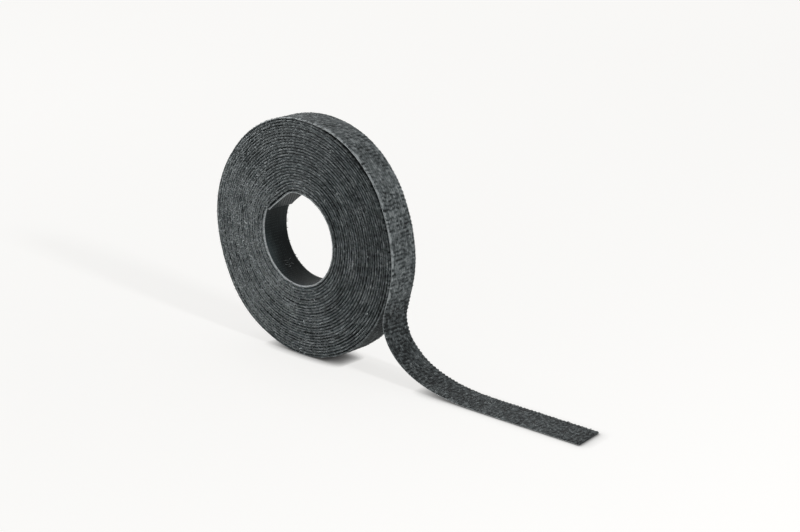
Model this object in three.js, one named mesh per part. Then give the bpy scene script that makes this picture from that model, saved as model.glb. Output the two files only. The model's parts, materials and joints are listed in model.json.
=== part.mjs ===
// A roll of back-to-back hook and loop tape. A web of moulded hooks is bonded to a web of knitted loops,
// and the tape is wound on itself with no core, hooks inwards. Its outer end has come away from the roll
// and lies along the floor, and its inner end stands off inside the bore.
//
// Millimetres, +Z up. The roll's axis lies along Y and the tail runs off towards +X. The origin is on the
// floor, in the middle of the level face that the roll stands on.

import * as THREE from "three";

// Driving dimensions
const TAPE_WIDTH = 12;
const HOOK_WEB = 0.3; // hook film with its stubs
const BOND_LINE = 0.05; // between the two webs
const LOOP_WEB = 0.35; // knitted ground of the loop side
const PILE_ROOM = 0.48; // between turns, where hooks and loops are pressed into each other
const BORE_RADIUS = 17.4; // mean, to the hook side of the innermost turn
const BORE_CREEP = -1.2; // along X, from the middle of the outermost turn to that of the innermost
const TAIL_LENGTH = 104; // from the roll to the cut end
const LINK_GAP = 0.5; // between the stiff links that bend as the tape does
const FLAP_GAP = 0.7; // at the hinge of the inner end's flap, which bends the most

// Counts
const STEPS = 22; // straight steps in a turn, one of them level on the floor
const FULL_TURNS = 23; // whole turns from the tail's root to the inner end
const INNER_STEPS = 10; // steps past the whole turns, up to the inner end
const FLAP_STEPS = 3; // steps at the inner end that stand off as one straight flap
const LEAVE_STEPS = 4; // steps from the level one up to the tail's root
const PEEL_LINKS = 6; // steps of the outermost turn that peel off before the rest
const LANDING_POWER = 6; // how softly the tail settles on the floor

const HOOK_COLOUR = 0x2b2d30;
const LOOP_COLOUR = 0x5a5d61;

// What follows from them
const TAPE = HOOK_WEB + BOND_LINE + LOOP_WEB;
const PITCH = TAPE + PILE_ROOM;
const STEP_ANGLE = (2 * Math.PI) / STEPS;
const TIP_STEP = FULL_TURNS * STEPS + INNER_STEPS;
const FLAP_STEP = TIP_STEP - FLAP_STEPS;
const LEVEL_STEP = STEPS - LEAVE_STEPS;
// A vertex stands as far outside the round spiral as the middle of a step lies inside it.
const VERTEX_SWELL = 2 / (1 + Math.cos(STEP_ANGLE / 2));
const OUTER_RADIUS = BORE_RADIUS + TAPE + PITCH * (turnsIn(TIP_STEP) - 0.5);
const AXIS_HEIGHT = VERTEX_SWELL * (OUTER_RADIUS - PITCH * turnsIn(LEVEL_STEP)) * Math.cos(STEP_ANGLE / 2);

// Depth of each web's two faces below the outer, looped side of the tape
const WEBS = {
  loop: { from: 0, to: LOOP_WEB, colour: LOOP_COLOUR, roughness: 0.95 },
  hook: { from: LOOP_WEB + BOND_LINE, to: TAPE, colour: HOOK_COLOUR, roughness: 0.55 },
};

// Turns wound inwards at a step. Steps count from the tail's root into the roll, and the spiral closes in
// by an even share on each of them but the level one.
function turnsIn(step) {
  const levelStepsPassed = Math.floor((step + LEAVE_STEPS) / STEPS);
  return (step - levelStepsPassed) / (STEPS - 1);
}

// A vertex of the wound tape in the XZ plane, at a depth below its outer side
function woundVertex(step, depth) {
  const angle = STEP_ANGLE * (step + LEAVE_STEPS + 0.5) - Math.PI / 2;
  const radius = VERTEX_SWELL * (OUTER_RADIUS - PITCH * turnsIn(step) - depth);
  const middle = BORE_CREEP * (turnsIn(step) / turnsIn(TIP_STEP));
  return new THREE.Vector2(middle + radius * Math.cos(angle), AXIS_HEIGHT + radius * Math.sin(angle));
}

// A point of the wound tape between two vertices
function woundPoint(step, depth) {
  const whole = Math.floor(step);
  return woundVertex(whole, depth).lerp(woundVertex(whole + 1, depth), step - whole);
}

function heading(from, to) {
  return Math.atan2(to.y - from.y, to.x - from.x);
}

// The steps at which a wound web has a section: every vertex, and a cut just clear of each end's hinge
function woundStations() {
  const cutAt = (hinge, next, gap) =>
    gap / 2 / woundVertex(hinge, TAPE / 2).distanceTo(woundVertex(next, TAPE / 2));
  const stations = [PEEL_LINKS + cutAt(PEEL_LINKS, PEEL_LINKS + 1, LINK_GAP)];
  for (let step = PEEL_LINKS + 1; step < FLAP_STEP; step += 1) {
    stations.push(step);
  }
  stations.push(FLAP_STEP - cutAt(FLAP_STEP, FLAP_STEP - 1, FLAP_GAP));
  return stations;
}

// A wound web: one unbroken band of four corners a section
function woundGeometry(web) {
  const positions = [];
  const triangles = [];
  const quad = (a, b, c, d) => triangles.push(a, b, c, a, c, d);
  const stations = woundStations();
  stations.forEach((step, index) => {
    const outer = woundPoint(step, web.from);
    const inner = woundPoint(step, web.to);
    positions.push(outer.x, -TAPE_WIDTH / 2, outer.y, outer.x, TAPE_WIDTH / 2, outer.y);
    positions.push(inner.x, TAPE_WIDTH / 2, inner.y, inner.x, -TAPE_WIDTH / 2, inner.y);
    if (index === 0) {
      return;
    }
    const before = 4 * (index - 1);
    const here = 4 * index;
    for (let corner = 0; corner < 4; corner += 1) {
      const next = (corner + 1) % 4;
      quad(before + corner, before + next, here + next, here + corner);
    }
  });
  const last = 4 * (stations.length - 1);
  quad(3, 2, 1, 0);
  quad(last, last + 1, last + 2, last + 3);
  const geometry = new THREE.BufferGeometry();
  geometry.setAttribute("position", new THREE.Float32BufferAttribute(positions, 3));
  geometry.setIndex(triangles);
  geometry.computeVertexNormals();
  return geometry;
}

function webMesh(name, web, geometry) {
  const material = new THREE.MeshStandardMaterial({ color: web.colour, roughness: web.roughness, metalness: 0 });
  const mesh = new THREE.Mesh(geometry, material);
  mesh.name = name;
  return mesh;
}

// One stiff link of tape. It starts at its own hinge, at mid thickness, and runs along its own +X, and its
// plates stop short of the hinges by a gap at each end. loopSide is 1 where the loops are on its +Z side,
// and -1 where the hooks are.
function tapeLink(names, length, startGap, endGap, loopSide) {
  const link = new THREE.Group();
  for (const [side, web] of Object.entries(WEBS)) {
    const plate = new THREE.BoxGeometry(length - startGap - endGap, TAPE_WIDTH, web.to - web.from);
    const mesh = webMesh(names[side], web, plate);
    mesh.position.x = (length + startGap - endGap) / 2;
    mesh.position.z = loopSide * (TAPE / 2 - (web.from + web.to) / 2);
    link.add(mesh);
  }
  return link;
}

// Lengths of the tail's links. Each is one more step of the spiral, so that the tail can be wound back on
// to the roll, and the last one takes what is left of the tail.
function tailLengths() {
  const stepLength = woundVertex(0, TAPE / 2).distanceTo(woundVertex(-1, TAPE / 2));
  const links = Math.max(1, Math.round(TAIL_LENGTH / stepLength));
  const lengths = [];
  let left = TAIL_LENGTH;
  for (let link = 0; link < links - 1; link += 1) {
    lengths.push(woundVertex(-link, TAPE / 2).distanceTo(woundVertex(-link - 1, TAPE / 2)));
    left -= lengths[link];
  }
  lengths.push(left);
  return lengths;
}

// Headings of the tail's links where the tail settles over a given run. It leaves along the roll, sweeps
// out and lies level from there on.
function tailHeadings(lengths, run) {
  const leaving = -STEP_ANGLE * (STEPS / 2 - LEAVE_STEPS - 0.5);
  let along = 0;
  return lengths.map((length) => {
    const share = Math.min((along + length / 2) / run, 1);
    along += length;
    return leaving * (1 - share) ** LANDING_POWER * (1 + LANDING_POWER * share);
  });
}

// The run over which the tail comes down to lie on the floor, found by halving
function landingRun(lengths) {
  const drop = woundVertex(0, TAPE / 2).y - TAPE / 2;
  const fall = (run) =>
    tailHeadings(lengths, run).reduce((sum, angle, link) => sum - lengths[link] * Math.sin(angle), 0);
  let short = 0;
  let long = 2 * TAIL_LENGTH;
  for (let round = 0; round < 60; round += 1) {
    const middle = (short + long) / 2;
    if (fall(middle) < drop) {
      short = middle;
    } else {
      long = middle;
    }
  }
  return (short + long) / 2;
}

// The chain of links from the peeling stretch of the outermost turn to the end of the tail, each hung on
// the one before it
function outerEnd() {
  const lengths = [];
  const headings = [];
  const names = [];
  for (let link = 1; link <= PEEL_LINKS; link += 1) {
    const hinge = woundVertex(PEEL_LINKS - link + 1, TAPE / 2);
    const next = woundVertex(PEEL_LINKS - link, TAPE / 2);
    lengths.push(hinge.distanceTo(next));
    headings.push(heading(hinge, next));
    names.push({ loop: `peel_loop_web_${link}`, hook: `peel_hook_web_${link}` });
  }
  const tail = tailLengths();
  lengths.push(...tail);
  headings.push(...tailHeadings(tail, landingRun(tail)));
  tail.forEach((_, link) => {
    names.push({ loop: `tail_loop_web_${link + 1}`, hook: `tail_hook_web_${link + 1}` });
  });

  const root = woundVertex(PEEL_LINKS, TAPE / 2);
  const chain = new THREE.Group();
  chain.position.set(root.x, 0, root.y);
  let carrier = chain;
  lengths.forEach((length, index) => {
    const endGap = index === lengths.length - 1 ? 0 : LINK_GAP / 2;
    const link = tapeLink(names[index], length, LINK_GAP / 2, endGap, 1);
    link.position.x = index === 0 ? 0 : lengths[index - 1];
    link.rotation.y = (index === 0 ? 0 : headings[index - 1]) - headings[index];
    carrier.add(link);
    carrier = link;
  });
  return chain;
}

// The flap at the inner end, straight across the last steps of the spiral
function innerEnd() {
  const hinge = woundVertex(FLAP_STEP, TAPE / 2);
  const tip = woundVertex(TIP_STEP, TAPE / 2);
  const names = { loop: "inner_end_loop_web", hook: "inner_end_hook_web" };
  const flap = tapeLink(names, hinge.distanceTo(tip), FLAP_GAP / 2, 0, -1);
  flap.position.set(hinge.x, 0, hinge.y);
  flap.rotation.y = -heading(hinge, tip);
  return flap;
}

// Least distance from the inner face of one web to the outer face of another, half a turn or more further in
function leastGap(innerDepth, outerDepth) {
  const pointsPerStep = 4;
  const points = (depth) => {
    const list = [];
    for (let count = PEEL_LINKS * pointsPerStep; count <= FLAP_STEP * pointsPerStep; count += 1) {
      list.push(woundPoint(count / pointsPerStep, depth));
    }
    return list;
  };
  const facingOut = points(outerDepth);
  let least = Infinity;
  points(innerDepth).forEach((point, index) => {
    for (let other = index + (STEPS * pointsPerStep) / 2; other < facingOut.length; other += 1) {
      least = Math.min(least, point.distanceTo(facingOut[other]));
    }
  });
  return least;
}

const roll = new THREE.Group();
roll.add(webMesh("wound_loop_web", WEBS.loop, woundGeometry(WEBS.loop)));
roll.add(webMesh("wound_hook_web", WEBS.hook, woundGeometry(WEBS.hook)));
roll.add(outerEnd());
roll.add(innerEnd());

console.log(`outer radius ${OUTER_RADIUS.toFixed(2)} mm, axis ${AXIS_HEIGHT.toFixed(2)} mm above the floor`);
console.log(`least gap of the loop web to itself ${leastGap(WEBS.loop.to, WEBS.loop.from).toFixed(3)} mm`);
console.log(`least gap of the hook web to itself ${leastGap(WEBS.hook.to, WEBS.hook.from).toFixed(3)} mm`);
console.log(`least gap from one turn to the next ${leastGap(WEBS.hook.to, WEBS.loop.from).toFixed(3)} mm`);

export default roll;
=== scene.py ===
"""A coreless roll of back-to-back hook and loop tape, standing on its rim with its free tail on the floor.

The tape is two webs bonded back to back: knitted loops on the outer side and moulded hooks on the inner
side. Everything is placed on one line, the bond line between the two webs, which runs from the cut end of
the tail up on to the roll, round the spiral and out to the loose inner end in the bore. A place on the tape
is given by three sizes in millimetres: along, from the tail's root (the tail counts up, the roll counts
down), across, from the middle of the width, and height, from the bond line towards the loops.
"""

import json
import math

import bpy
import numpy as np
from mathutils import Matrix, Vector


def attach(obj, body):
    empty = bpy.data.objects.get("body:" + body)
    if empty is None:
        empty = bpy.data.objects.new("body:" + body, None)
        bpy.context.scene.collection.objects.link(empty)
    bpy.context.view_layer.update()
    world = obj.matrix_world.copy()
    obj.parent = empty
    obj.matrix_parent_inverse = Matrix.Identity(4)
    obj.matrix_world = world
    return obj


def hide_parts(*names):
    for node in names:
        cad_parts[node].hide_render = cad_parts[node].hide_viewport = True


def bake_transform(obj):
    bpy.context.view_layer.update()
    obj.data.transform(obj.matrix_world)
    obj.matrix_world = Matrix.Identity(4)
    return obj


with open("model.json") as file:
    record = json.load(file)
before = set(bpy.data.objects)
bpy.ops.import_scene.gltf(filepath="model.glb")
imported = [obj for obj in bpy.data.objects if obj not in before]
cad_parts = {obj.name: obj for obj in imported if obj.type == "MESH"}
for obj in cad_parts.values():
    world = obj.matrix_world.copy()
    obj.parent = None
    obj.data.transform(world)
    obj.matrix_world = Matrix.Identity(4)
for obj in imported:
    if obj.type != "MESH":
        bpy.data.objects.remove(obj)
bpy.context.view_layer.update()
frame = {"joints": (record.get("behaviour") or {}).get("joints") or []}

MM = 0.001

# The tape's section
TAPE_WIDTH = 12.0
GROUND = 0.27  # top of the knitted ground
PILE_TOP = 0.50  # top of the matted loops
PILE_FALLS = 0.55  # from an edge of the tape, where the pile starts to fall away to it
FILM = 0.22  # depth of the film's hook side
HOOK_TIP = 0.46  # depth of the hooks' tips
COURSE = 1.5  # one knitted row to the next, along the tape
WALE = 0.95  # one knitted column to the next, across the tape
HOOK_PITCH = 1.05  # one row of hooks to the next
HOOK_LINE = 0.85  # one hook to the next in a row
HOOKS_EACH_SIDE = 6  # in a row, from the middle one to an edge
HOOK_WIDE = 0.3
HOOK_SHAPE_TALL = 0.95  # height of the shape that every hook is a copy of, before its height is set
ROOTED = 0.05  # how deep the feet of the loops are set in the pile
LOOPS_PER_MM2 = 1.9
LOOP_WIDE = (0.32, 0.6)  # least and most
LOOP_TALL = (0.12, 0.28)  # least and most
FUZZ_PER_MM = 6.0  # stray fibres on one side of the roll, for each millimetre of tape
FUZZ_LONG = (0.4, 0.9)  # least and most
KNOT_SHARE = 0.002  # how many of the stray fibres are knots of lint
EDGE_LIGHT_WIDE = 0.7  # width of the painted highlight along the near edge
EDGE_LIGHT_STARTS = -115.0  # along the roll, where that painted highlight starts
EDGE_LIGHT_GROWS = 30.0  # over how much of the tape it grows
EDGE_LIGHT_ENDS = 12.0  # along the tail, where the painted highlight ends
HANDLED_AND_SHADED_FROM = 8.0  # along the tail, from where its loops are rough with handling and painted darker as shade

# The roll and its two ends
OUTER_RADIUS = 45.2  # to the top of the outermost loops
BORE_RADIUS = 17.3  # mean, to the tips of the innermost hooks
BORE_CREEP = -1.5  # along X, from the middle of the outermost turn to that of the innermost
ROOT_ANGLE = math.radians(-16.36)  # where the tail leaves the roll
FULL_TURNS = 26
INNER_TIP_ANGLE = math.radians(150.5)
# Where the roll isn't round: middle and half width in degrees, height or depth, and the turns over which
# it fades
FLAT = (127.0, 29.0, 1.5, 8.0)  # the inner end runs straight, and the turns further out lie on it
LOOSE = (38.0, 64.0, 0.75, 4.0)  # the outermost turn has come loose, and a gap shows below it
BULGES = (  # the soft roll has settled, most of all in its outermost turns
    (52.0, 28.0, 0.65, 0.6),
    (14.0, 18.0, -0.4, 6.0),
    (168.0, 28.0, 0.5, 8.0),
    (226.0, 20.0, 0.5, 8.0),
)
RIPPLE = 0.20  # unevenness of the winding, outwards
RIPPLE_LENGTH = 22.0
SWAY = 0.40  # unevenness of the winding, sideways
SWAY_LENGTH = 45.0
SWAY_GROWS = 60.0  # into the roll from the tail's root, until the sway is full
MATTED_MEAN = 0.49  # how far fuzz covers the roll's two sides, from 0 to 1
# Where it sets the colour, this lean is painted light on the left side and painted shade on the right
MATTED_AND_LIT_LEFT = 0.36  # how much further it does on the left, and less far on the right
MATTED_PATCH = 0.9  # how far its patches differ
MATTED_LEAST = 0.28  # where it is least and the painted shade darkest, in radians round the roll
DRAWN_UP = 1.05  # how much of the gap below the loose turn is filled by loops that its hooks have drawn up
DRAWN_HALF = 4.8  # half of the width over which they are drawn up
SHOWN_TURNS = 1.02  # how much of the roll's outside is modelled in full
TAIL_LENGTH = 104.3
CUT_SKEW = 0.067  # how far from square the tail was cut, longer at its near edge
SKEW_REACH = 15.0  # how much of the tail that draws askew
TAIL_LEADS = 7.9  # along the tail, where it starts to sweep out
TAIL_SETTLES = 68.8  # along the tail, where it lies flat
TAIL_SWEEP = 1.16  # how sharply it sweeps out
FLAP_LEAD = 5.0  # how far before its hinge the inner end starts
FLAP_BEND = 10.0  # how much of it bends when it lifts
LINT_TURNS = (0.765, 0.8)  # where lint lies in the bore, in turns before the inner tip
LINT_ACROSS = (-1.0, 3.5)
LINT_LONG = (0.8, 1.8)  # least and most
LINT_COUNT = 9

# The studio, in metres
FLOOR_SIZE = 8.0
FLOOR_LIFT = (0.763, 0.835)  # how bright the floor is drawn, near the roll and far from it
LIFT_REACH = (0.1, 1.0)  # how near and how far that is
CONTACT_REACH = 0.0045  # what is this near to the floor shades it
CONTACT_POWER = 1.7  # how sharply that shade falls away
WORLD_LIGHT = (0.2, 0.46)  # from the front and from behind
WORLD_SEEN = 0.94
LIT_POINT = Vector((0.01, 0.0, 0.04))
CAMERA_AZIMUTH = math.radians(41.73)
CAMERA_ELEVATION = math.radians(17.28)
CAMERA_DISTANCE = 0.568
CAMERA_TARGET = Vector((0.02609, 0.01894, 0.03402))
CAMERA_LENS = 70.0

TURNS = FULL_TURNS + (INNER_TIP_ANGLE - ROOT_ANGLE) / (2 * math.pi)
BOND_RADIUS = OUTER_RADIUS - PILE_TOP
PITCH = (BOND_RADIUS - HOOK_TIP - BORE_RADIUS) / (TURNS - 0.5)
FLOOR_TURN = (1.5 * math.pi - ROOT_ANGLE) / (2 * math.pi)
AXIS_HEIGHT = OUTER_RADIUS - PITCH * FLOOR_TURN

random = np.random.default_rng(1773)


# Unevenness, the same on every run


def scattered(column, row, seed):
    """A number from 0 to 1 for each pair of whole numbers."""
    mask = 0xFFFFFFFF
    n = (column.astype(np.int64) & mask) * 374761393 + (row.astype(np.int64) & mask) * 668265263
    n = (n + seed * 40503) & mask
    n = ((n ^ (n >> 13)) * 1274126177) & mask
    return (n ^ (n >> 16)) / mask


def uneven(along, across, cell_along, cell_across, seed):
    """Smooth unevenness from 0 to 1, in cells of this size in millimetres."""
    p, q = np.broadcast_arrays(along / cell_along, across / cell_across)
    column, row = np.floor(p), np.floor(q)
    s, t = p - column, q - row
    s, t = s * s * (3 - 2 * s), t * t * (3 - 2 * t)
    near = scattered(column, row, seed) * (1 - s) + scattered(column + 1, row, seed) * s
    far = scattered(column, row + 1, seed) * (1 - s) + scattered(column + 1, row + 1, seed) * s
    return near * (1 - t) + far * t


# The line that the tape follows


def along_at(turn):
    """How far along the tape a turn of the spiral is."""
    return math.pi * turn * (PITCH * turn - 2 * BOND_RADIUS)


def turn_at(along):
    """The turn of the spiral at this length along the tape."""
    return (BOND_RADIUS - np.sqrt(BOND_RADIUS**2 + PITCH * along / math.pi)) / PITCH


def swell(turn, middle, half):
    """1 at this angle of the roll and 0 from half of a width away from it, in degrees."""
    away = (math.degrees(ROOT_ANGLE) + 360 * turn - middle + 180) % 360 - 180
    return np.clip(1 - (away / half) ** 2, 0, 1) ** 1.5


def loose_gap(turn):
    """How far a turn lies below the round, under the loose outermost turn."""
    middle, half, depth, turns = LOOSE
    return depth * swell(turn, middle, half) * np.where(turn > 0.5, np.exp((1 - turn) / turns), 0.0)


def turn_radius(turn):
    """Radius of the bond line: an even spiral, flat where it lies on the inner end and a little uneven."""
    radius = BOND_RADIUS - PITCH * turn
    middle, half, depth, turns = FLAT
    radius = radius - depth * swell(turn, middle, half) * np.exp((turn - TURNS) / turns)
    radius = radius - loose_gap(turn)
    for middle, half, height, turns in BULGES:
        radius = radius + height * swell(turn, middle, half) * np.exp(-turn / turns)
    return radius + RIPPLE * (uneven(along_at(turn), 0.0, RIPPLE_LENGTH, 1.0, 1) - 0.5)


def wound(turn):
    """Place on the spiral, x and z, and the heading there of someone walking out towards the tail."""
    turn = np.asarray(turn, float)
    angle = ROOT_ANGLE + 2 * math.pi * turn
    radius = turn_radius(turn)
    little = 1e-3
    growth = (turn_radius(turn + little) - turn_radius(turn - little)) / (4 * math.pi * little)
    x = BORE_CREEP * turn / TURNS + radius * np.cos(angle)
    return x, AXIS_HEIGHT + radius * np.sin(angle), angle - math.pi + np.arctan2(radius, growth)


def walked(along, heading, start):
    """The places that a walk from start passes, with the heading given at each length along it."""
    step = np.diff(along)
    middle = (heading[1:] + heading[:-1]) / 2
    x = start[0] + np.concatenate([[0], np.cumsum(step * np.cos(middle))])
    z = start[1] + np.concatenate([[0], np.cumsum(step * np.sin(middle))])
    return x, z


def tail_line():
    """The free tail: it leaves along the roll, sweeps out and settles until its hooks lie on the floor."""
    x, z, leaving = wound(0.0)
    along = np.linspace(0, TAIL_LENGTH + 2, 2081)
    fading = np.clip(1 - (along / TAIL_SETTLES) ** 2, 0, 1) ** 2

    def swept(half_way):
        heading = leaving * fading / (1 + (np.maximum(along - TAIL_LEADS, 0) / half_way) ** TAIL_SWEEP)
        return heading, walked(along, heading, (x, z))

    # Close in on the sweep that brings the hooks at the tail's end down on to the floor
    short, long = 5.0, 60.0
    for _ in range(40):
        middle = (short + long) / 2
        _, places = swept(middle)
        if places[1][-1] > HOOK_TIP:
            short = middle
        else:
            long = middle
    heading, places = swept(short)
    return along, places[0], places[1], heading


TAIL = tail_line()
TIP_ALONG = along_at(TURNS)


def bond_line(along):
    """x, z and heading of the bond line at these lengths along the tape."""
    along = np.asarray(along, float)
    on_roll = wound(turn_at(np.minimum(along, 0)))
    return [
        np.where(along > 0, np.interp(along, TAIL[0], free), rolled)
        for free, rolled in zip(TAIL[1:], on_roll)
    ]


def place(along, across, height):
    """Points in the frame, in metres, of places on the tape."""
    along, across, height = np.broadcast_arrays(along, across, height)
    along = along - CUT_SKEW * across * np.clip((along - TAIL_LENGTH) / SKEW_REACH + 1, 0, 1)
    x, z, heading = bond_line(along)
    sway = SWAY * (uneven(along, 0.0, SWAY_LENGTH, 1.0, 2) - 0.5) * np.clip(-along / SWAY_GROWS, 0, 1)
    points = (x - height * np.sin(heading), across + sway, z + height * np.cos(heading))
    return np.stack(points, axis=-1) * MM


# Knitted cloth


def course_ridge(along, across):
    """The knitted rows: ridges across the tape, from 0 to 1, with broken dashes between them, sunk and
    painted dark as shade, clearer in some places than in others."""
    drift = 0.5 * uneven(along, across, 3.0, 2.4, 11) + 0.4 * uneven(along, across, 2.2, 1.2, 15)
    ridge = 0.5 + 0.5 * np.cos(2 * math.pi * (along / COURSE + drift))
    clear = np.clip(1.5 * uneven(along, across, 6.0, 3.0, 12) + 0.05, 0, 1)
    dash = np.clip(2.4 * uneven(along, across, 0.9, 0.8, 16) - 0.6, 0, 1)
    return 1 - (1 - np.sqrt(ridge)) * clear * dash


def handled_and_shaded(along):
    """0 on the roll and 1 on the free tail, whose loops stand rougher from handling and are painted darker
    as shade.
    """
    return np.clip(along / HANDLED_AND_SHADED_FROM, 0, 1)


def fullness(along, across):
    """How full the cloth stands, from 0 between the stitches to 1 on the fullest tufts of loops. The colour
    follows it too, as painted shade between the stitches and painted light on the tufts.
    """
    stitch = 0.5 + 0.5 * np.cos(2 * math.pi * across / WALE)
    tuft = uneven(along, across, 1.2, 0.9, 13)
    fuzz = uneven(along, across, 0.45, 0.45, 14)
    row = course_ridge(along, across) * (0.75 + 0.25 * stitch)
    full = 0.62 * row + 0.42 * tuft + 0.3 * fuzz - 0.31
    # On the free tail the fullness is lower and more uneven: its colour is painted darker there as shade
    return np.clip(0.45 + (full - 0.45 - 0.09 * handled_and_shaded(along)) * (1 + 0.5 * handled_and_shaded(along)), 0, 1)


def pile_height(along, across):
    """Top of the loop web: tufts of loops over the ground, falling away at both edges."""
    inside = np.clip((TAPE_WIDTH / 2 - np.abs(across)) / PILE_FALLS, 0, 1)
    return GROUND + (PILE_TOP - GROUND) * fullness(along, across) * (2 * inside - inside**2)


def near_edge_highlight(along, across):
    """How strong the painted highlight along the near edge of the cloth is, from 0 to 1: broken, and
    strongest on the loose turn.
    """
    near = np.clip(1.2 - (across + TAPE_WIDTH / 2) / EDGE_LIGHT_WIDE, 0, 1)
    shown = np.clip(1 - along / EDGE_LIGHT_ENDS, 0, 1) * np.clip((along - EDGE_LIGHT_STARTS) / EDGE_LIGHT_GROWS, 0.2, 1)
    return near * shown * np.clip(1.6 * uneven(along, 0.0, 1.3, 1.0, 23) - 0.1, 0, 1)


def matted_and_side_lit(along):
    """How far fuzz covers the lines on the roll's two sides, from 0 to 1: in patches, most on the left. Where
    it sets the colour, its lean to the left is painted light and its lack on the right painted shade.
    """
    x, z, _ = wound(turn_at(along))
    angle = ROOT_ANGLE + 2 * math.pi * turn_at(along)
    patch = 0.55 * uneven(x, z, 5.0, 5.0, 35) + 0.45 * uneven(x, z, 1.7, 1.7, 36)
    by_side = MATTED_MEAN - MATTED_AND_LIT_LEFT * np.cos(angle - MATTED_LEAST)
    return np.clip(by_side + MATTED_PATCH * (patch - 0.5), 0, 1)


# Meshes


def mesh_piece(name, points, faces, materials, uv, shade):
    """A new piece from points in metres. faces are pairs of an array of faces and their material's number,
    and every point has its place on the tape as UV and its own shade of the colour."""
    mesh = bpy.data.meshes.new(name)
    corners = np.concatenate([np.ravel(f) for f, _ in faces]).astype(np.int32)
    sides = np.concatenate([np.full(len(f), f.shape[1]) for f, _ in faces])
    slots = np.concatenate([np.broadcast_to(slot, len(f)) for f, slot in faces])
    mesh.vertices.add(len(points))
    mesh.vertices.foreach_set("co", np.ravel(points).astype(np.float32))
    mesh.loops.add(len(corners))
    mesh.loops.foreach_set("vertex_index", corners)
    mesh.polygons.add(len(sides))
    starts = np.concatenate([[0], np.cumsum(sides)[:-1]])
    mesh.polygons.foreach_set("loop_start", starts.astype(np.int32))
    for material in materials:
        mesh.materials.append(material)
    mesh.polygons.foreach_set("material_index", slots.astype(np.int32))
    mesh.update(calc_edges=True)
    layer = mesh.uv_layers.new(name="tape")
    layer.data.foreach_set("uv", np.ravel(uv[corners]).astype(np.float32))
    attribute = mesh.attributes.new("shade", "FLOAT", "POINT")
    attribute.data.foreach_set("value", np.ravel(shade).astype(np.float32))
    mesh.shade_smooth()
    piece = bpy.data.objects.new(name, mesh)
    bpy.context.scene.collection.objects.link(piece)
    return piece


def tape_uv(along, across):
    """UV of a place on the tape, in tape widths."""
    along, across = np.broadcast_arrays(along, across)
    return np.stack([along / TAPE_WIDTH, across / TAPE_WIDTH + 0.5], axis=-1).reshape(-1, 2)


def stations(start, end, step):
    """Even steps along the tape, from the roll towards the tail."""
    low, high = sorted((start, end))
    return np.linspace(low, high, max(2, math.ceil((high - low) / step) + 1))


def strip(name, along, across, height, shade, materials, second=()):
    """A closed band along the tape, with a ring of points at each station. second are the sides of the ring
    that take the second material."""
    count, ring = across.shape
    points = place(along[:, None], across, height).reshape(-1, 3)
    first = np.arange(count - 1)[:, None] * ring
    side = np.arange(ring)[None, :]
    after = (side + 1) % ring
    quads = np.stack([first + side, first + ring + side, first + ring + after, first + after], axis=-1)
    slots = np.zeros(quads.shape[:2], int)
    slots[:, list(second)] = 1
    caps = np.stack([np.arange(ring), (count * ring - 1) - np.arange(ring)])
    faces = [(quads.reshape(-1, 4), slots.ravel()), (caps, 0)]
    return mesh_piece(name, points, faces, materials, tape_uv(along[:, None], across), shade)


# One of each repeated shape, modelled and copied


def finished_shape():
    """Points and faces of the shape being modelled, which is then taken away."""
    bpy.ops.object.mode_set(mode="OBJECT")
    shape = bpy.context.object
    points = np.array([vertex.co for vertex in shape.data.vertices])
    faces = [tuple(face.vertices) for face in shape.data.polygons]
    bpy.data.objects.remove(shape)
    return points, faces


def pile_loop_shape():
    """A loop of pile: an arch of fibre, one wide and about one tall, with its two feet in the ground."""
    bpy.ops.object.select_all(action="DESELECT")
    bpy.ops.mesh.primitive_torus_add(
        major_segments=8, minor_segments=3, major_radius=0.5, minor_radius=0.14, rotation=(math.pi / 2, 0, 0)
    )
    bpy.ops.object.transform_apply(location=False, rotation=True, scale=False)
    bpy.ops.object.mode_set(mode="EDIT")
    bpy.ops.mesh.select_all(action="SELECT")
    bpy.ops.mesh.bisect(plane_co=(0, 0, -0.02), plane_no=(0, 0, 1), clear_inner=True, use_fill=True)
    bpy.ops.mesh.select_all(action="SELECT")
    bpy.ops.transform.resize(value=(1, 1, 1.6), center_override=(0, 0, 0))
    return finished_shape()


def stray_fibre_shape():
    """A tuft of loose fibre, one long: three sided, bent over and drawn out to a thin end."""
    bpy.ops.object.select_all(action="DESELECT")
    bpy.ops.mesh.primitive_circle_add(vertices=3, radius=0.11, fill_type="NGON")
    bpy.ops.object.mode_set(mode="EDIT")
    bpy.ops.mesh.select_all(action="SELECT")
    for lean, rise in ((0.12, 0.5), (0.38, 0.4)):
        bpy.ops.mesh.extrude_region_move(TRANSFORM_OT_translate={"value": (lean, 0, rise)})
    bpy.ops.mesh.merge(type="CENTER")
    bpy.ops.mesh.select_all(action="SELECT")
    bpy.ops.mesh.normals_make_consistent(inside=False)
    return finished_shape()


def hook_shape():
    """A moulded hook, one tall: a stem that thins upwards and bends over into a nose."""
    bpy.ops.object.select_all(action="DESELECT")
    bpy.ops.mesh.primitive_plane_add(size=1)
    bpy.ops.object.mode_set(mode="EDIT")
    bpy.ops.mesh.select_all(action="SELECT")
    bpy.ops.transform.resize(value=(0.85, 0.5, 1), center_override=(0, 0, 0))
    bends = (
        ((-0.06, 0, 0.45), 0.62),
        ((0.05, 0, 0.35), 0.85),
        ((0.3, 0, 0.16), 0.9),
        ((0.34, 0, -0.12), 0.6),
    )
    for step, thin in bends:
        bpy.ops.mesh.extrude_region_move(TRANSFORM_OT_translate={"value": step})
        bpy.ops.transform.resize(value=(thin, thin, thin))
    bpy.ops.mesh.select_all(action="SELECT")
    bpy.ops.mesh.normals_make_consistent(inside=False)
    return finished_shape()


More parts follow.
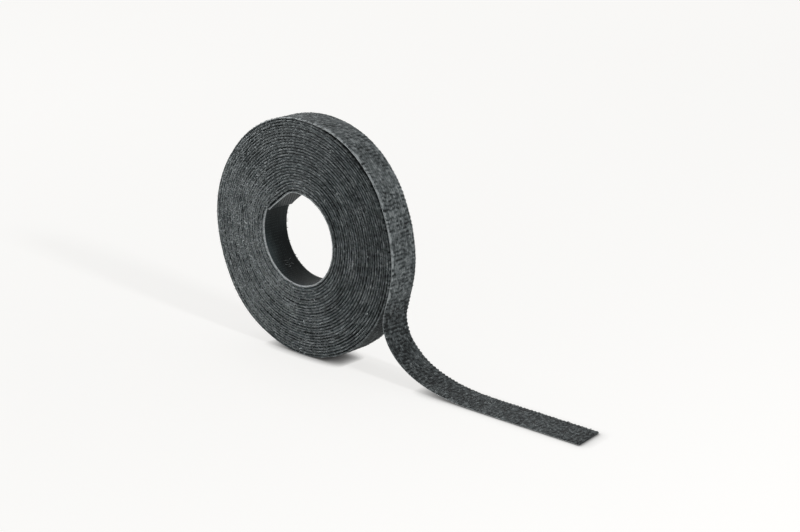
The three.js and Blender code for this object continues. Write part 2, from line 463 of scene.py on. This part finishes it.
def copies(name, shape, along, across, height, axes, material, shade):
    """One piece of many copies of a shape. axes are each copy's own x, y and z directions, with their lengths
    in millimetres, in the tape's directions along, across and height. What meets the floor lies flat on
    it."""
    shape_points, shape_faces = shape
    _, _, heading = bond_line(along)
    level, zero = np.cos(heading), np.zeros_like(heading)
    tape_axes = np.stack(
        [
            np.stack([level, zero, np.sin(heading)], axis=-1),
            np.stack([zero, zero + 1, zero], axis=-1),
            np.stack([-np.sin(heading), zero, level], axis=-1),
        ],
        axis=1,
    )
    own_axes = np.einsum("nij,njk->nik", axes, tape_axes) * MM
    points = place(along, across, height)[:, None, :] + np.einsum("mi,nik->nmk", shape_points, own_axes)
    points[..., 2] = np.maximum(points[..., 2], 0)
    first = np.arange(len(along))[:, None, None] * len(shape_points)
    faces = []
    for sides in sorted({len(face) for face in shape_faces}):
        these = np.array([face for face in shape_faces if len(face) == sides])
        faces.append(((first + these[None]).reshape(-1, sides), 0))
    uv = np.repeat(tape_uv(along, across), len(shape_points), axis=0)
    shades = np.repeat(shade, len(shape_points))
    return mesh_piece(name, points.reshape(-1, 3), faces, [material], uv, shades)


# Materials


def linear(hex_colour):
    """A linear colour from its sRGB hex value."""
    parts = [int(hex_colour[i : i + 2], 16) / 255 for i in (1, 3, 5)]
    return tuple(c / 12.92 if c <= 0.04045 else ((c + 0.055) / 1.055) ** 2.4 for c in parts) + (1.0,)


def add(tree, kind, inputs=None, **settings):
    """A new node with its settings, and its inputs set or linked."""
    node = tree.nodes.new(kind)
    for key, value in settings.items():
        setattr(node, key, value)
    for socket, value in (inputs or {}).items():
        if isinstance(value, bpy.types.NodeSocket):
            tree.links.new(value, node.inputs[socket])
        else:
            node.inputs[socket].default_value = value
    return node


def bare_material(name):
    """A new material with no nodes, and its tree."""
    material = bpy.data.materials.new(name)
    material.use_nodes = True
    material.node_tree.nodes.clear()
    return material, material.node_tree


def set_stops(node, stops):
    """Give a colour ramp these stops: place and hex colour."""
    elements = node.color_ramp.elements
    while len(elements) < len(stops):
        elements.new(0.5)
    for element, (at, colour) in zip(elements, stops):
        element.position = at
        element.color = linear(colour)
    return node.outputs["Color"]


def per_width(size):
    """Scale of a pattern on the tape's UV whose grain is this many millimetres."""
    return TAPE_WIDTH / size


def seen_ray(tree):
    """1 for what the camera sees, itself or in a mirror or glass."""
    ray = add(tree, "ShaderNodeLightPath").outputs
    through = add(
        tree, "ShaderNodeMath", {0: ray["Is Glossy Ray"], 1: ray["Is Transmission Ray"]}, operation="MAXIMUM"
    )
    seen = add(tree, "ShaderNodeMath", {0: ray["Is Camera Ray"], 1: through.outputs[0]}, operation="MAXIMUM")
    return seen.outputs[0]


def knitted_loop_cloth():
    """Brushed knitted polyamide, charcoal: dull. Each point's shade sets the colour: painted light where
    tufts of loops stand up, and painted shade, near black, between the stitches."""
    material, tree = bare_material("knitted_loop_cloth")
    uv = add(tree, "ShaderNodeUVMap", uv_map="tape").outputs["UV"]
    shade = add(tree, "ShaderNodeAttribute", attribute_name="shade").outputs["Fac"]
    # Real fibres are 0.02 mm: drawn as flecks of 0.35 mm, about a pixel
    fleck = add(
        tree, "ShaderNodeTexNoise", {"Vector": uv, "Scale": per_width(0.35), "Detail": 3.0, "Roughness": 0.6},
        noise_dimensions="2D",
    ).outputs["Fac"]
    mixed = add(tree, "ShaderNodeMix", {"Factor": 0.2, "A": shade, "B": fleck}, data_type="FLOAT")
    ramp = add(tree, "ShaderNodeValToRGB", {"Fac": mixed.outputs["Result"]})
    colour = set_stops(ramp, ((0.2, "#101314"), (0.4, "#353a3b"), (0.58, "#585d5e"), (0.85, "#8c9192")))
    bump = add(tree, "ShaderNodeBump", {"Height": fleck, "Strength": 0.6, "Distance": 0.1 * MM})
    shader = add(
        tree, "ShaderNodeBsdfPrincipled",
        {
            "Base Color": colour, "Normal": bump.outputs["Normal"], "Roughness": 0.95, "IOR": 1.5,
            "Specular IOR Level": 0.25, "Sheen Weight": 0.08, "Sheen Roughness": 0.5,
        },
    )
    add(tree, "ShaderNodeOutputMaterial", {"Surface": shader.outputs[0]})
    return material


def loose_fibre():
    """Drawn polyamide fibre, charcoal: every loop and stray end has its own shade, which holds painted light
    and shade too, and a soft silky light.
    """
    material, tree = bare_material("loose_fibre")
    shade = add(tree, "ShaderNodeAttribute", attribute_name="shade").outputs["Fac"]
    ramp = add(tree, "ShaderNodeValToRGB", {"Fac": shade})
    colour = set_stops(ramp, ((0.0, "#1f2324"), (0.45, "#4c5152"), (0.8, "#747a7b"), (1.0, "#a5abac")))
    shader = add(
        tree, "ShaderNodeBsdfPrincipled",
        {"Base Color": colour, "Roughness": 0.7, "IOR": 1.53, "Sheen Weight": 0.08, "Sheen Roughness": 0.4},
    )
    add(tree, "ShaderNodeOutputMaterial", {"Surface": shader.outputs[0]})
    return material


def moulded_hook_film():
    """Moulded polypropylene, near black: smooth between the hooks, with faint lines along the tape from the
    moulding roll and a dull gloss. The hooks are painted a little paler, as a highlight on their tips, each
    by its own shade."""
    material, tree = bare_material("moulded_hook_film")
    uv = add(tree, "ShaderNodeUVMap", uv_map="tape").outputs["UV"]
    stretched = add(tree, "ShaderNodeMapping", {"Vector": uv, "Scale": (per_width(6.0), per_width(0.3), 1.0)})
    streak = add(
        tree, "ShaderNodeTexNoise", {"Vector": stretched.outputs["Vector"], "Scale": 1.0, "Detail": 2.0},
        noise_dimensions="2D",
    ).outputs["Fac"]
    shade = add(tree, "ShaderNodeAttribute", attribute_name="shade").outputs["Fac"]
    mixed = add(tree, "ShaderNodeMix", {"Factor": 0.6, "A": streak, "B": shade}, data_type="FLOAT")
    ramp = add(tree, "ShaderNodeValToRGB", {"Fac": mixed.outputs["Result"]})
    colour = set_stops(ramp, ((0.1, "#0c1112"), (0.3, "#1a2122"), (0.8, "#4b5456")))
    rough = add(tree, "ShaderNodeMapRange", {"Value": streak, "To Min": 0.34, "To Max": 0.5})
    bump = add(tree, "ShaderNodeBump", {"Height": streak, "Strength": 0.25, "Distance": 0.03 * MM})
    shader = add(
        tree, "ShaderNodeBsdfPrincipled",
        {
            "Base Color": colour, "Roughness": rough.outputs["Result"], "Normal": bump.outputs["Normal"],
            "IOR": 1.49, "Specular IOR Level": 0.1,
        },
    )
    add(tree, "ShaderNodeOutputMaterial", {"Surface": shader.outputs[0]})
    return material


def film_edge_highlight():
    """The film's bare near border and cut edges: painted paler than the film as a highlight, with small
    nicks.
    """
    material, tree = bare_material("film_edge_highlight")
    uv = add(tree, "ShaderNodeUVMap", uv_map="tape").outputs["UV"]
    nick = add(
        tree, "ShaderNodeTexNoise", {"Vector": uv, "Scale": per_width(0.8), "Detail": 2.0},
        noise_dimensions="2D",
    ).outputs["Fac"]
    ramp = add(tree, "ShaderNodeValToRGB", {"Fac": nick})
    colour = set_stops(ramp, ((0.3, "#777b7d"), (0.7, "#b0b5b7")))
    shader = add(tree, "ShaderNodeBsdfPrincipled", {"Base Color": colour, "Roughness": 0.6, "IOR": 1.49})
    add(tree, "ShaderNodeOutputMaterial", {"Surface": shader.outputs[0]})
    return material


def white_sweep():
    """A matt white studio sweep. Seen by the camera it is lifted to near white, more so towards the back, and
    it keeps the shadow: the lift ends where something stands close above it."""
    material, tree = bare_material("white_sweep")
    plain = add(tree, "ShaderNodeBsdfDiffuse", {"Color": linear("#e4e4e2")})
    dimmed = add(tree, "ShaderNodeBsdfDiffuse", {"Color": linear("#8c8c8c")})
    here = add(tree, "ShaderNodeTexCoord").outputs["Object"]
    away = add(tree, "ShaderNodeVectorMath", {0: here}, operation="LENGTH")
    level = add(
        tree, "ShaderNodeMapRange",
        {
            "Value": away.outputs["Value"], "From Min": LIFT_REACH[0], "From Max": LIFT_REACH[1],
            "To Min": FLOOR_LIFT[0], "To Max": FLOOR_LIFT[1],
        },
    )
    # The broad light comes from the left, so what stands close shades the floor on its right
    lit_side = add(tree, "ShaderNodeCombineXYZ", {"X": -0.6, "Z": 0.8})
    clear_above = add(
        tree, "ShaderNodeAmbientOcclusion", {"Normal": lit_side.outputs[0], "Distance": CONTACT_REACH},
        samples=16,
    )
    deep = add(tree, "ShaderNodeMath", {0: clear_above.outputs["AO"], 1: CONTACT_POWER}, operation="POWER")
    strength = add(
        tree, "ShaderNodeMath", {0: level.outputs["Result"], 1: deep.outputs[0]}, operation="MULTIPLY"
    )
    lift = add(
        tree, "ShaderNodeEmission", {"Color": linear("#fffefc"), "Strength": strength.outputs[0]}
    )
    lifted = add(tree, "ShaderNodeAddShader", {0: dimmed.outputs[0], 1: lift.outputs[0]})
    shader = add(
        tree, "ShaderNodeMixShader", {0: seen_ray(tree), 1: plain.outputs[0], 2: lifted.outputs[0]}
    )
    add(tree, "ShaderNodeOutputMaterial", {"Surface": shader.outputs[0]})
    return material


cloth = knitted_loop_cloth()
fibre = loose_fibre()
film = moulded_hook_film()
film_edge_light = film_edge_highlight()

pile_loop = pile_loop_shape()
stray_fibre = stray_fibre_shape()
moulded_hook = hook_shape()


# The webs and what grows on them


def shown_loop_web(name, start, end):
    """A stretch of loop web whose outer side is in sight, with every knitted row modelled. The near edge
    carries a painted highlight, and the far one shows the teeth of the rows."""
    along = stations(start, end, COURSE / 6)[:, None]
    half = TAPE_WIDTH / 2
    inner = np.linspace(-half + 0.3, half - 0.3, 45)
    top = np.concatenate([[-half, -half + 0.08], inner, [half - 0.08, half]])
    near_tooth = 0.1 + 0.1 * uneven(along, 0.0, 0.6, 1.0, 21)
    tooth = 0.5 + 0.5 * np.cos(2 * math.pi * along / COURSE)
    long = (0.12 + 0.26 * handled_and_shaded(along)) * (0.5 + uneven(along, 4.0, 2.5, 1.0, 24))
    far_tooth = 0.1 + long * tooth + 0.2 * uneven(along, 5.0, 0.6, 1.0, 22)
    reach = np.where(top < 0, -near_tooth, far_tooth) * (np.abs(top) > half - 0.2)
    across = np.concatenate([top + reach, half + 0 * along, -half + 0 * along], axis=1)
    height = pile_height(along, top)
    height[:, [0, -1]] = 0.5 * GROUND
    height[:, [1, -2]] = 0.95 * GROUND
    height = np.concatenate([height, np.zeros((len(along), 2))], axis=1)
    # Painted shade between the stitches and painted light on the tufts, painted darker on the tail as shade,
    # and the painted highlight along the near edge
    shade = fullness(along, top) * (1 - 0.2 * handled_and_shaded(along)) + 0.6 * near_edge_highlight(along, top)
    shade = np.concatenate([shade, np.full((len(along), 2), 0.3)], axis=1)
    return strip(name, along[:, 0], across, height, shade, [cloth])


def hidden_loop_web(name, start, end, pale):
    """The loop web inside the roll, where only its two edges are in sight: where fuzz covers them, the pile
    swells out over the gap to the next turn. pale is how much lighter both edges are painted, as a
    highlight; where it is set, the matting is left out."""
    along = stations(start, end, COURSE / 3)[:, None]
    half = TAPE_WIDTH / 2
    right = np.array([half - 0.75, half - 0.26, half, half])
    ring = np.concatenate([-right[::-1], right])
    rise = np.array([0.0, 0.85 * GROUND, 0.4, PILE_TOP, PILE_TOP, 0.4, 0.85 * GROUND, 0.0])
    row = 4.0 * np.arange(8)
    matted_and_lit = matted_and_side_lit(along) * (pale == 0)
    out = np.array([0.03, 0.12, 0.2, 0.0, 0.0, 0.2, 0.12, 0.03]) * (1 + matted_and_lit)
    across = ring + np.sign(ring) * out * (uneven(along, row, 0.55, 1.0, 31) - 0.35)
    swells = np.array([0.0, 0.38, 0.4, 0.25, 0.25, 0.4, 0.38, 0.0])
    height = rise + swells * (matted_and_lit + 0.25) * (uneven(along, row, 0.7, 1.0, 32) + 0.1)
    # Tone by place on the ring, darkest deep between the turns as painted shade in the gap
    tone = np.array([0.45, 0.55, 0.55, 0.25, 0.25, 0.55, 0.55, 0.45]) + pale * (np.abs(ring) > half - 0.5)
    # Painted paler on the left as light and darker on the right as shade, by the lean of the matting, with
    # random tone
    shade = tone - 0.12 + 0.38 * matted_and_lit + 0.7 * (uneven(along, row, 0.6, 1.0, 33) - 0.5)
    return strip(name, along[:, 0], across, height, shade, [cloth])


def hook_web(name, start, end, bed, bare):
    """A stretch of hook film. bed is how deep the engaged hooks fill the room below it, inside the roll, and
    bare says that its cut edges and its near border show, painted paler as a highlight."""
    along = stations(start, end, HOOK_PITCH)[:, None]
    half = TAPE_WIDTH / 2
    right = np.array([half, half, half - 0.1, half - 0.55, half - 0.8])
    ring = np.concatenate([right, -right[::-1]])
    depth = np.array([0.0, FILM - 0.06, FILM, FILM, bed, bed, FILM, FILM, FILM - 0.06, 0.0])
    sway = 0.06 * (uneven(along, np.sign(ring), 9.0, 1.0, 41) - 0.3)
    across = ring + np.sign(ring) * sway
    height = np.broadcast_to(-depth, across.shape)
    # Those sides take the film edges' painted highlight
    second = (0, 1, 6, 7, 8) if bare else ()
    shade = np.clip(1.2 * uneven(along, ring, 13.0, 5.0, 43) - 0.3, 0, 1)
    return strip(name, along[:, 0], across, height, shade, [film, film_edge_light], second)


def pile(name, start, end):
    """Loops of pile on the outer side of the loop web, most of them on its knitted rows."""
    low, high = sorted((start, end))
    count = int((high - low) * TAPE_WIDTH * LOOPS_PER_MM2)
    along = random.uniform(low, high, 2 * count)
    across = random.uniform(-TAPE_WIDTH / 2 + 0.1, TAPE_WIDTH / 2 - 0.1, 2 * count)
    best = np.argsort(random.uniform(0, 1, 2 * count) - 1.2 * fullness(along, across))[:count]
    along, across = along[best], across[best]
    turn = random.uniform(0, math.pi, count)
    zero = np.zeros(count)
    lean = random.normal(0, 0.5, (2, count))
    wide = random.uniform(*LOOP_WIDE, count)[:, None]
    tall = random.uniform(*LOOP_TALL, count) * (1 + 0.7 * handled_and_shaded(along))
    # The hooks of the loose turn have drawn up the loops below it
    drawn_up = DRAWN_UP * loose_gap(turn_at(np.minimum(along, 0))) * (np.abs(across) < DRAWN_HALF)
    tall = (tall + drawn_up)[:, None]
    x = np.stack([np.cos(turn), np.sin(turn), zero], axis=-1) * wide
    y = np.stack([-np.sin(turn), np.cos(turn), zero], axis=-1) * wide
    z = np.stack([lean[0], lean[1], zero + 1], axis=-1) * tall
    spread = 0.45 + 0.35 * handled_and_shaded(along)
    # The loops' shade is random, with painted shade in the grooves and light on the tufts, painted darker on
    # the tail as shade, and the painted highlight along the near edge
    shade = spread * (random.beta(1.6, 2.4, count) - 0.4) + 1.1 * (fullness(along, across) - 0.14)
    shade = np.clip(shade * (1 - 0.2 * handled_and_shaded(along)) + 0.4 * near_edge_highlight(along, across), 0, 1)
    height = pile_height(along, across) - ROOTED
    return copies(name, pile_loop, along, across, height, np.stack([x, y, z], axis=1), fibre, shade)


def hooks(name, start, end):
    """Rows of hooks on the film, their noses to one end of the tape and to the other by turns."""
    low, high = sorted((start, end))
    rows = np.arange(math.ceil(low / HOOK_PITCH), math.floor(high / HOOK_PITCH) + 1)
    lines = np.arange(-HOOKS_EACH_SIDE, HOOKS_EACH_SIDE + 1)
    row, line = (grid.ravel() for grid in np.meshgrid(rows, lines, indexing="ij"))
    nose = np.where(line % 2 == 0, 1.0, -1.0)
    zero = np.zeros(len(row))
    x = np.stack([HOOK_WIDE * nose, zero, zero], axis=-1)
    y = np.stack([zero, -HOOK_WIDE * nose, zero], axis=-1)
    z = np.stack([zero, zero, zero - (HOOK_TIP - FILM) / HOOK_SHAPE_TALL], axis=-1)
    axes = np.stack([x, y, z], axis=1)
    along, across = row * HOOK_PITCH, line * HOOK_LINE
    # The hooks' paler shade is a painted highlight on their tips, in random patches
    shade = random.uniform(0.4, 1.0, len(row)) * (1.3 * uneven(along, across, 15.0, 6.0, 43))
    return copies(name, moulded_hook, along, across, zero - FILM + 0.01, axes, film, shade)


def edge_fuzz(name, start, end, side):
    """Stray fibres on one side of the wound roll, where the pile of each turn stands out past its edge:
    longer and paler where fuzz covers the lines: paler on the left as painted light and darker on the right
    as painted shade. A pale knot of lint here and there."""
    low, high = sorted((start, end))
    count = int((high - low) * FUZZ_PER_MM)
    along = random.uniform(low, high, 3 * count)
    along = along[np.argsort(random.uniform(0, 1, 3 * count) - 0.8 * matted_and_side_lit(along))[:count]]
    matted_and_lit = matted_and_side_lit(along)
    height = random.uniform(0.0, PITCH - FILM, count)
    across = np.full(count, side * (TAPE_WIDTH / 2 - 0.12))
    long = random.uniform(*FUZZ_LONG, count) * (0.8 + 0.5 * matted_and_lit)
    sideways = np.full(count, side * 0.35)
    z = np.stack([random.normal(0, 0.9, count), sideways, random.normal(0, 0.5, count)], axis=-1)
    z *= (long / np.linalg.norm(z, axis=1))[:, None]
    knot = random.uniform(0, 1, count) < KNOT_SHARE
    thick = long * (1 + 2 * knot)
    x = np.cross(z, random.normal(0, 1, (count, 3)))
    x *= (thick / np.linalg.norm(x, axis=1))[:, None]
    y = np.cross(z, x) / long[:, None]
    # Painted paler on the left as light and darker on the right as shade, with the knots of lint palest
    shade = np.clip(random.beta(1.8, 2.2, count) + 0.55 * (matted_and_lit - 0.45) + knot, 0, 1)
    return copies(name, stray_fibre, along, across, height, np.stack([x, y, z], axis=1), fibre, shade)


def lint(name, turns):
    """Loose fibres that the hooks in the bore have picked up, at these turns of the spiral."""
    count = len(turns)
    across = random.uniform(*LINT_ACROSS, count)
    long = random.uniform(*LINT_LONG, count)[:, None]
    way = random.uniform(0, 2 * math.pi, count)
    z = np.stack([np.cos(way), np.sin(way), np.full(count, -0.15)], axis=-1) * long
    x = np.stack([-np.sin(way), np.cos(way), np.zeros(count)], axis=-1) * 0.5
    y = np.cross(z, x) / long
    axes = np.stack([x, y, z], axis=1)
    height = np.full(count, -HOOK_TIP - 0.05)
    return copies(name, stray_fibre, along_at(turns), across, height, axes, fibre, np.full(count, 0.95))


# The wound roll


def hinge_places():
    """The hinges of the outer end, from the roll to the cut end: each joint and its place along the tape."""
    chain = [j for j in frame["joints"] if j["name"].startswith(("peel_bend", "tail_bend"))]
    places = np.array([j["pos_m"] for j in chain]) / MM
    along = np.concatenate([[0], np.cumsum(np.linalg.norm(np.diff(places, axis=0), axis=1))])
    root = [j["name"] for j in chain].index("tail_bend_1")
    return chain, along - along[root]


chain, hinge_along = hinge_places()
middles = (hinge_along[1:] + hinge_along[:-1]) / 2
first_cut = 2 * hinge_along[0] - middles[0]
last_cut = 2 * hinge_along[-1] - middles[-1]
cuts = np.concatenate([[first_cut], middles, [TAIL_LENGTH]])
outer_turn_end = along_at(turn_at(first_cut) + SHOWN_TURNS)

inner_joint = next(j for j in frame["joints"] if j["name"] == "inner_end_lift")
inner_hinge = np.array(inner_joint["pos_m"]) / MM
inner_angle = math.atan2(inner_hinge[2] - AXIS_HEIGHT, inner_hinge[0]) - ROOT_ANGLE
inner_turn = FULL_TURNS + inner_angle / (2 * math.pi)
inner_cut = along_at(inner_turn) + FLAP_LEAD
bore_turn_start = along_at(TURNS - 1)


def on_roll(piece, slot, *nodes):
    """Let a piece ride on the roll, in place of these nodes. slot is not used."""
    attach(piece, "roll")
    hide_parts(*nodes)
    return piece


def dress_roll():
    """The wound roll: its outermost turn in full, the turns inside it, and the hook side in the bore."""
    outer = on_roll(
        shown_loop_web("roll_outer_loops", first_cut, outer_turn_end), "loop_web", "wound_loop_web"
    )
    half_round = (first_cut + outer_turn_end) / 2
    outer_piles = [
        on_roll(pile("roll_outer_pile_1", first_cut, half_round), "loop_web"),
        on_roll(pile("roll_outer_pile_2", half_round, outer_turn_end), "loop_web"),
    ]
    turns = on_roll(hidden_loop_web("roll_turns_loops", outer_turn_end, bore_turn_start, 0.0), "loop_web")
    # The innermost turn's edges are painted pale as a highlight
    bore = on_roll(hidden_loop_web("bore_loops", bore_turn_start, inner_cut, 0.4), "loop_web")
    turns_film = on_roll(
        hook_web("roll_turns_film", first_cut, bore_turn_start, HOOK_TIP, False), "hook_web", "wound_hook_web"
    )
    bore_film = on_roll(hook_web("bore_film", bore_turn_start, inner_cut, FILM, True), "hook_web")
    on_roll(hooks("bore_hooks", bore_turn_start, inner_cut), "hook_web")
    on_roll(lint("bore_lint", TURNS - random.uniform(*LINT_TURNS, LINT_COUNT)), "loop_web")
    half_way = (outer_turn_end + bore_turn_start) / 2
    fuzz = [
        on_roll(edge_fuzz(f"roll_{face}_fuzz_{number}", start, end, side), "loop_web")
        for face, side in (("front", -1), ("back", 1))
        for number, start, end in ((1, outer_turn_end, half_way), (2, half_way, inner_cut))
    ]


# The outer end, which peels and bends, and the inner end, which lifts


def dress_bend(stem, number, start, end, bend):
    """One stretch of tape across one hinge: loop web, pile, film and hooks, set in the frame in place of the
    part's two webs. bend is the two lengths along the tape between which it would bend; their places are
    worked out and not used."""
    web = shown_loop_web(f"{stem}_loops{number}", start, end)
    loops = pile(f"{stem}_pile{number}", start, end)
    back = hook_web(f"{stem}_film{number}", start, end, FILM, True)
    rows = hooks(f"{stem}_hooks{number}", start, end)
    from_point, to_point = place(np.array(bend), 0.0, 0.0)
    for piece, slot in ((web, "loop_web"), (loops, "loop_web"), (back, "hook_web"), (rows, "hook_web")):
        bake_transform(piece)
    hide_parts(f"{stem}_loop_web{number}")
    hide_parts(f"{stem}_hook_web{number}")


def dress_ends():
    """The outer end, stretch by stretch, and the inner end."""
    # The bend of a stretch on the roll is set to start late, and at the tail's root from its hinge on, so
    # that what lies behind the hinge wouldn't be pressed into the turn below
    late = np.select([hinge_along < 0, hinge_along == 0], [0.5, 1.0], 0.0)
    bend_starts = cuts[:-1] + late * (hinge_along - cuts[:-1])
    bend_ends = np.append(cuts[1:-1], last_cut)
    for joint, start, end, bend in zip(chain, cuts[:-1], cuts[1:], zip(bend_starts, bend_ends)):
        stem, number = joint["child"].split("_")
        dress_bend(stem, f"_{number}", start, end, bend)
    dress_bend("inner_end", "", inner_cut, TIP_ALONG, (inner_cut, inner_cut - FLAP_BEND))


dress_roll()
dress_ends()


# Floor, light and camera


def lay_floor():
    """A flat white floor, far wider than the view."""
    bpy.ops.object.select_all(action="DESELECT")
    bpy.ops.mesh.primitive_plane_add(size=FLOOR_SIZE)
    floor = bpy.context.object
    floor.name = "floor"
    floor.data.materials.append(white_sweep())
    return floor


def off(azimuth, elevation, distance):
    """A step of this distance, up at this elevation and turned by azimuth from +X towards +Y."""
    level = distance * math.cos(elevation)
    return Vector((level * math.cos(azimuth), level * math.sin(azimuth), distance * math.sin(elevation)))


def softbox(name, azimuth, elevation, distance, size, power, spread=180):
    """A square soft light, seen from the roll in this direction in degrees, and aimed at it. A grid on it
    holds its light within a spread in degrees."""
    step = off(math.radians(azimuth), math.radians(elevation), distance)
    bpy.ops.object.light_add(
        type="AREA", location=LIT_POINT + step, rotation=step.to_track_quat("Z", "Y").to_euler()
    )
    light = bpy.context.object
    light.name = name
    light.data.shape = "SQUARE"
    light.data.size = size
    light.data.energy = power
    light.data.spread = math.radians(spread)
    return light


def light_studio(floor):
    """White all round, lighter behind the roll, and three softboxes. The one on the left stands close, and is
    kept off the floor."""
    world = bpy.data.worlds.new("studio")
    bpy.context.scene.world = world
    world.use_nodes = True
    tree = world.node_tree
    tree.nodes.clear()
    way = add(tree, "ShaderNodeTexCoord").outputs["Generated"]
    back = add(tree, "ShaderNodeSeparateXYZ", {"Vector": way}).outputs["Y"]
    level = add(
        tree, "ShaderNodeMapRange",
        {"Value": back, "From Min": -1.0, "To Min": WORLD_LIGHT[0], "To Max": WORLD_LIGHT[1]},
    ).outputs["Result"]
    dim = add(tree, "ShaderNodeBackground", {"Color": linear("#ffffff"), "Strength": level})
    white = add(tree, "ShaderNodeBackground", {"Color": linear("#fffefc"), "Strength": WORLD_SEEN})
    mixed = add(tree, "ShaderNodeMixShader", {0: seen_ray(tree), 1: dim.outputs[0], 2: white.outputs[0]})
    add(tree, "ShaderNodeOutputWorld", {"Surface": mixed.outputs[0]})
    softbox("back_left_softbox", azimuth=172, elevation=55, distance=0.9, size=0.6, power=1.8)
    softbox("right_softbox", azimuth=-7, elevation=27, distance=0.9, size=0.08, power=4.3)
    left = softbox(
        "left_softbox", azimuth=218, elevation=15, distance=0.24, size=0.16, power=0.11, spread=60
    )
    kept_off = bpy.data.collections.new("kept_off")
    kept_off.objects.link(floor)
    kept_off.collection_objects[0].light_linking.link_state = "EXCLUDE"
    left.light_linking.receiver_collection = kept_off


def set_camera():
    """The camera that took the photograph, as fitted to the roll and its tail."""
    step = off(CAMERA_AZIMUTH - math.pi / 2, CAMERA_ELEVATION, CAMERA_DISTANCE)
    turn = (math.pi / 2 - CAMERA_ELEVATION, 0, CAMERA_AZIMUTH)
    bpy.ops.object.camera_add(location=CAMERA_TARGET + step, rotation=turn)
    camera = bpy.context.object
    camera.name = "photo_camera"
    camera.data.lens = CAMERA_LENS
    camera.data.clip_start = 0.01
    bpy.context.scene.camera = camera


light_studio(lay_floor())
set_camera()
bpy.context.scene.view_settings.view_transform = "Standard"

bpy.context.view_layer.update()
